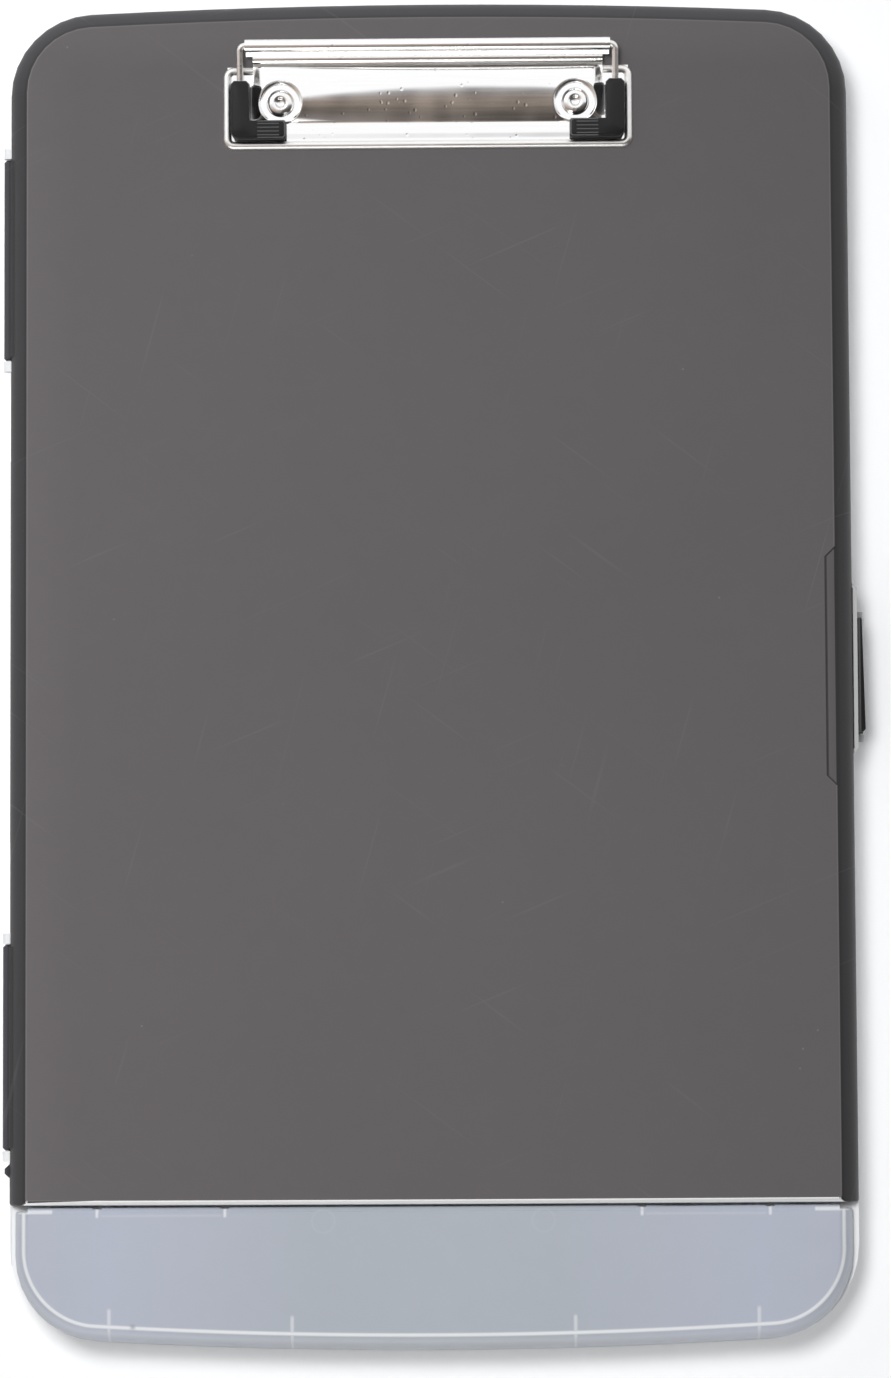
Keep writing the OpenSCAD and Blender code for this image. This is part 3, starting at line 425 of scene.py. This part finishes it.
wall_side, wall_end, wall_round, wall_bow = 119.7, -194.45, 21.0, 3300.0
bowed = figure(tree, "DIVIDE", figure(tree, "MULTIPLY", across, across), wall_bow)
inner_x = figure(tree, "MAXIMUM", figure(tree, "SUBTRACT", across, wall_side - wall_round), 0.0)
from_end = figure(tree, "SUBTRACT", along, figure(tree, "ADD", bowed, wall_end))
inner_y = figure(tree, "MAXIMUM", figure(tree, "SUBTRACT", wall_round, from_end), 0.0)
reach = figure(tree, "SQRT", figure(tree, "ADD", figure(tree, "MULTIPLY", inner_x, inner_x),
                                    figure(tree, "MULTIPLY", inner_y, inner_y)))
# Painted light: paler lines where the wall, gussets, posts and bars carry light through the cover;
# the faint rings are ejector marks.
pale = figure(tree, "MULTIPLY", band(reach, wall_round - 0.5, 0.5),
              node_in(tree, "MapRange", Value=along, From_Min=-157.4, From_Max=-157.9).outputs[0])
near_end = band(from_end, 0.6, 5.0, 0.5)
for gusset_x in (41.1, 94.3):
    pale = shown(figure(tree, "MULTIPLY", band(across, gusset_x, 0.5), near_end), 0.55, pale)
for post_x in (60.6, 97.8):
    post = figure(tree, "MULTIPLY", band(across, post_x, 0.4), band(along, -158.3, 1.4, 0.3))
    pale = shown(post, 0.75, pale)
for bar_x, half, bar_y, thick, amount in (
    (116.0, 5.2, -158.0, 0.55, 0.8), (79.2, 17.5, -159.2, 0.3, 0.15),
):
    bar = figure(tree, "MULTIPLY", band(across, bar_x, half), band(along, bar_y, thick))
    pale = shown(bar, amount, pale)
ring_x, ring_y = figure(tree, "SUBTRACT", across, 32.0), figure(tree, "ADD", along, 161.0)
ring = figure(tree, "SQRT", figure(tree, "ADD", figure(tree, "POWER", ring_x, 2.0),
                                   figure(tree, "POWER", ring_y, 2.0)))
pale = shown(band(ring, 3.3, 0.25), 0.07, pale)
# Painted light: the cover's edge beyond the wall is made paler.
pale = shown(node_in(tree, "MapRange", Value=reach, From_Min=wall_round + 0.2,
                     From_Max=wall_round + 1.4).outputs[0], 0.28, pale)
from_tint = figure(tree, "ABSOLUTE", figure(tree, "SUBTRACT", across, 95.0))
lilac = node_in(tree, "MapRange", Value=from_tint, From_Min=0.0, From_Max=60.0, To_Min=1.0,
                To_Max=0.0).outputs[0]
# The blue-grey is partly the frosted plastic's colour and partly painted shade of the hollow under
# it, seen through the cover; it turns lilac towards the sides.
colour = blend(tree, "MIX", lilac, (0.50, 0.535, 0.59, 1), (0.545, 0.575, 0.675, 1))
colour = blend(tree, "MULTIPLY", 1.0, colour, skin["Tone"])
colour = blend(tree, "MIX", pale, colour, (0.96, 0.97, 0.99, 1))
smudge = figure(tree, "MULTIPLY", band(xyz.outputs[0], -0.0874, 0.0005, 0.0007),
                band(from_end, 0.8, 0.4, 0.7))
colour = blend(tree, "MIX", smudge, colour, (0.22, 0.22, 0.24, 1))
dents = node_in(tree, "Bump", Strength=0.25, Distance=0.00005, Height=skin["Height"])
shell = node_in(tree, "BsdfPrincipled", Base_Color=colour,
                Roughness=figure(tree, "MULTIPLY_ADD", skin["Rub"], 0.15, 0.40),
                Transmission_Weight=0.2, IOR=1.49, Normal=dents.outputs[0])
tree.links.new(shell.outputs[0], out.inputs[0])
for _ in range(2):
    cover.data.materials.append(milky)
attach(cover, "cover")

# ---- The clip plate ----
# Pressed from thin steel sheet and chromed: a crowned middle, a round seat for each rivet,
# a rolled bead along the sides and front, and a curl at the back that the lever turns on.

plate_low, plate_high = (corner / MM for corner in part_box("clip_plate"))
land_top = 26.8
crown_front, crown_back, crown_rise = 161.85, 178.4, 2.5
bead_r = 1.25
curl_at, curl_r, curl_half = Vector((0, 180.65, 28.2)), 1.15, 51.6
rivet_x, rivet_y, seat_r = 43.5, 167.55, 6.0

# The finish of rubbed bright metal: long polishing streaks, gentle waves left by the
# rolling of the sheet, and small pits and nicks.
rubbed_metal, given, result = effect_group(
    "rubbed_metal", (("Shine", 0.1), ("Streaks", 0.5), ("Nicks", 0.5)),
    ("Roughness", "Tone", "Height"),
)
place = node_in(rubbed_metal, "TexCoord").outputs["Object"]
along = node_in(rubbed_metal, "Mapping", Vector=place, Scale=(60, 1500, 1500))
rub = node_in(rubbed_metal, "TexNoise", Vector=along.outputs[0], Scale=1.0, Detail=4.0)
streak = figure(rubbed_metal, "MULTIPLY", figure(rubbed_metal, "SUBTRACT", rub.outputs[0], 0.5),
                given.outputs["Streaks"])
sway = node_in(rubbed_metal, "TexNoise", Vector=place, Scale=60.0, Detail=1.0)
pits = node_in(rubbed_metal, "TexVoronoi", Vector=place, Scale=420.0)
pit = node_in(rubbed_metal, "MapRange", Value=pits.outputs["Distance"], From_Min=0.10,
              From_Max=0.24, To_Min=1.0, To_Max=0.0)
patch = node_in(rubbed_metal, "TexNoise", Vector=place, Scale=110.0, Detail=1.0)
here = node_in(rubbed_metal, "MapRange", Value=patch.outputs[0], From_Min=0.50, From_Max=0.58)
nick = figure(rubbed_metal, "MULTIPLY", figure(rubbed_metal, "MULTIPLY", pit.outputs[0],
                                               here.outputs[0]), given.outputs["Nicks"])
for label, value in (
    ("Roughness", figure(rubbed_metal, "MULTIPLY", given.outputs["Shine"],
                         figure(rubbed_metal, "MULTIPLY_ADD", streak, 2.0, 1.0))),
    ("Tone", figure(rubbed_metal, "MULTIPLY_ADD", streak, 0.1, 1.0)),
    ("Height", figure(rubbed_metal, "SUBTRACT", sway.outputs[0],
                      figure(rubbed_metal, "MULTIPLY", nick, 0.5))),
):
    rubbed_metal.links.new(value, result.inputs[label])


def plated(name, colour, **amounts):
    """Bright plate over steel, with its own amounts of shine, streaks and nicks."""
    material, tree, out = new_surface(name)
    rub = with_effect(tree, rubbed_metal, **amounts)
    dents = node_in(tree, "Bump", Strength=0.3, Distance=0.0003, Height=rub["Height"])
    surface = node_in(tree, "BsdfPrincipled", Metallic=1.0, Roughness=rub["Roughness"],
                      Base_Color=blend(tree, "MULTIPLY", 1.0, colour, rub["Tone"]),
                      Normal=dents.outputs[0])
    tree.links.new(surface.outputs[0], out.inputs[0])
    return material


def finished(shape, name, materials, body, node, sharp=40):
    """The piece made from a bmesh in millimetres: smooth but for its sharp edges."""
    bmesh.ops.scale(shape, vec=(MM, MM, MM), verts=shape.verts)
    for edge in shape.edges:
        edge.smooth = edge.is_manifold and edge.calc_face_angle(math.pi) < math.radians(sharp)
    for face in shape.faces:
        face.smooth = True
    mesh = bpy.data.meshes.new(name)
    shape.to_mesh(mesh)
    shape.free()
    piece = bpy.data.objects.new(name, mesh)
    scene.collection.objects.link(piece)
    for material in materials:
        mesh.materials.append(material)
    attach(piece, body)
    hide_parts(node)
    return piece


def smooth_step(low, high, value):
    t = min(max((value - low) / (high - low), 0), 1)
    return t * t * (3 - 2 * t)


def pressed_height(x, y):
    """Height of the sheet above its flat. The crest of the crown bows a little along its
    length, and the flat falls to the bead at the front."""
    t = (crown_back - y) / (crown_back - crown_front)
    height = -0.10 * min(max((158.6 - y) / 1.8, 0), 1)
    if t < 1:
        crest = min(0.30 + 0.000084 * (x - 14) ** 2, 0.62)
        part = (crest - t) / crest if t < crest else (t - crest) / (1 - crest)
        fall = 0.55 if t < crest else 1.0
        height = crown_rise * (1 - fall * part * part) * smooth_step(52.2, 48.0, abs(x))
    off = math.hypot(abs(x) - rivet_x, y - rivet_y)
    out_of_seat = smooth_step(seat_r - 0.4, seat_r + 0.5, off)
    return height * out_of_seat + 0.2 * (1 - out_of_seat)


def swept(shape, path, radius, sides=24):
    """A round bar along a path: a ring of vertices extruded from point to point."""
    heading = (Vector(path[1]) - Vector(path[0])).normalized()
    ring = bmesh.ops.create_circle(
        shape, segments=sides, radius=radius,
        matrix=Matrix.Translation(path[0]) @ heading.to_track_quat("Z", "Y").to_matrix().to_4x4(),
    )["verts"]
    edges = list({edge for vert in ring for edge in vert.link_edges})
    ends = [list(edges)]
    for i in range(1, len(path)):
        made = bmesh.ops.extrude_edge_only(shape, edges=edges)["geom"]
        verts = [part for part in made if isinstance(part, bmesh.types.BMVert)]
        new = set(verts)
        edges = [part for part in made if isinstance(part, bmesh.types.BMEdge)
                 and part.verts[0] in new and part.verts[1] in new]
        ahead = (Vector(path[min(i + 1, len(path) - 1)]) - Vector(path[i - 1])).normalized()
        bmesh.ops.translate(shape, verts=verts, vec=Vector(path[i]) - Vector(path[i - 1]))
        bmesh.ops.rotate(shape, verts=verts, cent=path[i],
                         matrix=heading.rotation_difference(ahead).to_matrix())
        heading = ahead
    for loop in (ends[0], edges):
        bmesh.ops.contextual_create(shape, geom=loop)
    bmesh.ops.recalc_face_normals(shape, faces=shape.faces)


def bent_path(corners):
    """Points along a line with rounded corners. Each corner is a point and a bend radius."""
    points = [Vector(corners[0][0])]
    for (a, _), (b, r), (c, _) in zip(corners, corners[1:], corners[2:]):
        a, b, c = Vector(a), Vector(b), Vector(c)
        u, w = (a - b).normalized(), (c - b).normalized()
        half = u.angle(w) / 2
        centre = b + (u + w).normalized() * r / math.sin(half)
        start = b + u * r / math.tan(half) - centre
        stop = b + w * r / math.tan(half) - centre
        sweep = start.angle(stop)
        points += [centre + (start * math.sin((1 - k / 10) * sweep)
                             + stop * math.sin(k / 10 * sweep)) / math.sin(sweep)
                   for k in range(11)]
    return points + [Vector(corners[-1][0])]


side_x, front_y, rear_y = plate_high.x - bead_r, plate_low.y + bead_r, 178.5 - bead_r
plate = bmesh.new()
bmesh.ops.create_grid(plate, x_segments=240, y_segments=72, size=1)
bmesh.ops.scale(plate, vec=(side_x, (crown_back - front_y) / 2, 1), verts=plate.verts)
bmesh.ops.translate(plate, vec=(0, (crown_back + front_y) / 2, 0), verts=plate.verts)
at_seats = [edge for edge in plate.edges if abs(math.hypot(
    abs(edge.verts[0].co.x) - rivet_x, edge.verts[0].co.y - rivet_y) - seat_r) < 1.6]
bmesh.ops.subdivide_edges(plate, edges=at_seats, cuts=3, use_grid_fill=True)
for vert in plate.verts:
    vert.co.z = land_top + pressed_height(vert.co.x, vert.co.y)
rim = [edge for edge in plate.edges if edge.is_boundary]
made = bmesh.ops.extrude_edge_only(plate, edges=rim)["geom"]
for part in made:
    if isinstance(part, bmesh.types.BMVert):
        part.co.z = 26.1
bmesh.ops.contextual_create(plate, geom=[
    part for part in made if isinstance(part, bmesh.types.BMEdge) and part.is_boundary])
bmesh.ops.recalc_face_normals(plate, faces=plate.faces)

sheet_faces = set(plate.faces)
bead_z = land_top - 0.35 * bead_r
swept(plate, bent_path([
    ((-curl_half, rear_y, bead_z), 0), ((-side_x, rear_y, bead_z), 1.9),
    ((-side_x, front_y, bead_z), 1.9), ((side_x, front_y, bead_z), 1.9),
    ((side_x, rear_y, bead_z), 1.9), ((curl_half, rear_y, bead_z), 0)]), bead_r)
bmesh.ops.create_cone(plate, cap_ends=True, segments=48, radius1=curl_r, radius2=curl_r,
                      depth=2 * curl_half,
                      matrix=Matrix.Translation(curl_at) @ Matrix.Rotation(math.pi / 2, 4, "Y"))
for centre, half in (((0, 179.3, 26.35), (curl_half, 1.75, 0.25)),
                     ((0, curl_at.y, 27.2), (curl_half, 0.4, 1.1))):
    bmesh.ops.create_cube(plate, size=2,
                          matrix=Matrix.Translation(centre) @ Matrix.Diagonal((*half, 1)))
for face in plate.faces:
    if face not in sheet_faces:
        face.material_index = 1
chrome = (0.90, 0.90, 0.90, 1)
finished(plate, "clip_plate_pressing",
         (plated("chrome_sheet", chrome, Shine=0.08, Streaks=0.8, Nicks=0.4),
          plated("chrome_bead", (0.90, 0.895, 0.88, 1), Shine=0.36, Streaks=0.5, Nicks=0.3)),
         "lid", "clip_plate")

# ---- The clip lever ----
# One strip of the same chromed sheet: hooked round the plate's curl, up through a web,
# and rolled into the tube that the thumb presses.

tube_at = Vector((0, 183.85, 31.6))
sheet = 0.55
hook_r, roll_r = curl_r + 0.05 + sheet / 2, 1.945 - sheet / 2


def rolled_sheet(shape, centre, radius, start, sweep, half, steps):
    """Sheet rolled about a line along X from one angle through another, as wide as 2 half."""
    turn = Matrix.Rotation(math.radians(start), 3, "X")
    ends = [shape.verts.new(centre + Vector((-half, 0, 0))
                            + turn @ Vector((0, radius + side * sheet / 2, 0)))
            for side in (-1, 1)]
    edge = shape.edges.new(ends)
    bmesh.ops.spin(shape, geom=[*ends, edge], cent=centre, axis=(1, 0, 0),
                   angle=math.radians(sweep), steps=steps)
    faces = [face for face in shape.faces if all(abs(v.co.x + half) < 1e-4 for v in face.verts)
             and all(abs((v.co - centre).yz.length - radius) < sheet for v in face.verts)]
    made = bmesh.ops.extrude_face_region(shape, geom=faces)["geom"]
    bmesh.ops.translate(shape, vec=(2 * half, 0, 0),
                        verts=[part for part in made if isinstance(part, bmesh.types.BMVert)])


lever = bmesh.new()
rolled_sheet(lever, curl_at, hook_r, -20, 185, curl_half, 30)
rolled_sheet(lever, tube_at, roll_r, 232, 348, 53.8, 64)
leave = curl_at + Vector((0, hook_r * math.cos(math.radians(68)),
                          hook_r * math.sin(math.radians(68))))
meet = tube_at + (leave - tube_at).normalized() * roll_r
lean = math.atan2((meet - leave).z, (meet - leave).y)
bmesh.ops.create_cube(lever, size=2, matrix=Matrix.Translation((leave + meet) / 2)
                      @ Matrix.Rotation(lean, 4, "X")
                      @ Matrix.Diagonal((53.5, (meet - leave).length / 2, sheet / 2, 1)))
bmesh.ops.recalc_face_normals(lever, faces=lever.faces)
finished(lever, "clip_lever_strip",
         (plated("chrome_lever", (0.97, 0.965, 0.96, 1), Shine=0.17, Streaks=0.6, Nicks=0.3),),
         "lever", "clip_lever")

# ---- The wire ----
# Nickelled spring wire: it runs through the tube, bends down at each end into an arm,
# and its two ends turn in under the boots.

wire = bmesh.new()
half_wire = [((55.3, tube_at.y, tube_at.z), 1.5), ((55.3, 173.75, 29.2), 5),
             ((55.3, 159.15, 29.2), 2), ((44.3, 159.15, 29.2), 0)]
swept(wire, bent_path([((-x, y, z), r) for (x, y, z), r in reversed(half_wire)] + half_wire), 1.0)
finished(wire, "spring_wire_frame",
         (plated("nickel_wire", (0.86, 0.855, 0.845, 1), Shine=0.32, Streaks=0.6, Nicks=0.2),),
         "lever", "clip_wire")

# ---- The rivets ----
# Two nickelled steel rivets with domed, dimpled heads, each set over a washer under the lid.

rivets = bmesh.new()
head = [(0, 27.55), (0.7, 27.55), (1.15, 27.75), (1.5, 28.2), (1.85, 28.42), (2.3, 28.45),
        (3.0, 28.25), (3.6, 27.85), (3.95, 27.4), (4.1, 27.02), (1.5, 27.0), (1.5, 23.0),
        (2.3, 23.0), (2.3, 22.15), (0, 22.1)]
for side in (-1, 1):
    centre = Vector((side * rivet_x, rivet_y, 0))
    line = [rivets.verts.new(centre + Vector((r, 0, z))) for r, z in head]
    edges = [rivets.edges.new(pair) for pair in zip(line, line[1:])]
    bmesh.ops.spin(rivets, geom=[*line, *edges], cent=centre, axis=(0, 0, 1),
                   angle=2 * math.pi, steps=64, use_merge=True)
bmesh.ops.remove_doubles(rivets, verts=rivets.verts, dist=0.001)
bmesh.ops.recalc_face_normals(rivets, faces=rivets.faces)
rivet_nickel = plated("rivet_nickel", (0.88, 0.88, 0.88, 1), Shine=0.20, Streaks=0.3, Nicks=0.5)
finished(rivets, "rivet_pair", (rivet_nickel,), "lid", "rivets")
washers = joined_copy("rivet_washers", "washer_pair")
washers.data.materials.append(rivet_nickel)
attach(washers, "lid")

# ---- The pins ----
# Drawn steel rod: one pin through each of the lid's barrels and the lugs beside it, and a
# thinner one that the latch swings on. They stay in the tray.

pin_steel = plated("pin_steel", (0.55, 0.55, 0.57, 1), Shine=0.35, Streaks=1.0, Nicks=0.2)
for node in ("hinge_pin_upper", "hinge_pin_lower", "latch_pin"):
    piece = joined_copy(node, node + "_drawn")
    piece.data.materials.append(pin_steel)
    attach(piece, "tray")

# ---- The boots ----
# Soft black vinyl, dipped and moulded over the wire's two ends, with four grip lines
# across each toe. They hold the paper without marking it.

vinyl, tree, out = new_surface("soft_black_vinyl")
skin = with_effect(tree, moulded_skin, Grain_Scale=1100.0, Unevenness=0.25, Scratches=0.4,
                   Dust=0.8)
colour = blend(tree, "MULTIPLY", 1.0, (0.011, 0.011, 0.012, 1), skin["Tone"])
colour = blend(tree, "MIX", figure(tree, "MULTIPLY", skin["Speck"], 0.3), colour,
               (0.5, 0.5, 0.5, 1))
xyz = node_in(tree, "SeparateXYZ", i0=node_in(tree, "TexCoord").outputs["Object"])
# Painted highlight: the toe's grip band is coloured a lighter grey for the light on its grip lines.
grip_side, grip_low, grip_high = 0.0502, 0.0309, 0.03112
toe = figure(tree, "MULTIPLY",
             figure(tree, "LESS_THAN", figure(tree, "ABSOLUTE", xyz.outputs[0]), grip_side),
             figure(tree, "LESS_THAN", xyz.outputs[2], grip_high))
toe = figure(tree, "MULTIPLY", toe, figure(tree, "GREATER_THAN", xyz.outputs[2], grip_low))
colour = blend(tree, "MIX", toe, colour, (0.11, 0.11, 0.112, 1))
dents = node_in(tree, "Bump", Strength=0.5, Distance=0.0001, Height=skin["Height"])
rubber = node_in(tree, "BsdfPrincipled", Base_Color=colour, Specular_IOR_Level=0.25,
                 Roughness=figure(tree, "MULTIPLY_ADD", skin["Rub"], 0.2, 0.38),
                 Normal=dents.outputs[0])
tree.links.new(rubber.outputs[0], out.inputs[0])
for node in ("boot_left", "boot_right"):
    piece = joined_copy(node, node + "_vinyl")
    piece.data.materials.append(vinyl)
    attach(piece, "lever")

# ---- The latch ----
# A black moulded flap on the right side. A strip of its inner face, next to the tray, is coloured
# grey, and its tooth snaps into the tongue under the lid.

latch_black, tree, out = new_surface("latch_black")
skin = with_effect(tree, moulded_skin, Grain_Scale=1800.0, Unevenness=0.15, Scratches=0.8,
                   Dust=0.5)
xyz = node_in(tree, "SeparateXYZ", i0=node_in(tree, "TexCoord").outputs["Object"])
inner = node_in(tree, "MapRange", Value=xyz.outputs[0], From_Min=0.1264, From_Max=0.1266,
                To_Min=1.0, To_Max=0.0)
colour = blend(tree, "MULTIPLY", 1.0, (0.007, 0.007, 0.008, 1), skin["Tone"])
colour = blend(tree, "MIX", figure(tree, "MULTIPLY", inner.outputs[0], 0.6), colour,
               (0.12, 0.12, 0.12, 1))
colour = blend(tree, "MIX", figure(tree, "MULTIPLY", skin["Rub"], 0.2), colour,
               (0.4, 0.4, 0.4, 1))
dents = node_in(tree, "Bump", Strength=0.3, Distance=0.00008, Height=skin["Height"])
flap = node_in(tree, "BsdfPrincipled", Base_Color=colour, Specular_IOR_Level=0.2, Roughness=0.45,
               Normal=dents.outputs[0])
tree.links.new(flap.outputs[0], out.inputs[0])
latch = joined_copy("latch", "latch_flap")
latch.data.materials.append(latch_black)
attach(latch, "latch")

size = {"cad": [list(corner) for corner in cad_box],
        "visual": [list(corner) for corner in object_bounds()]}
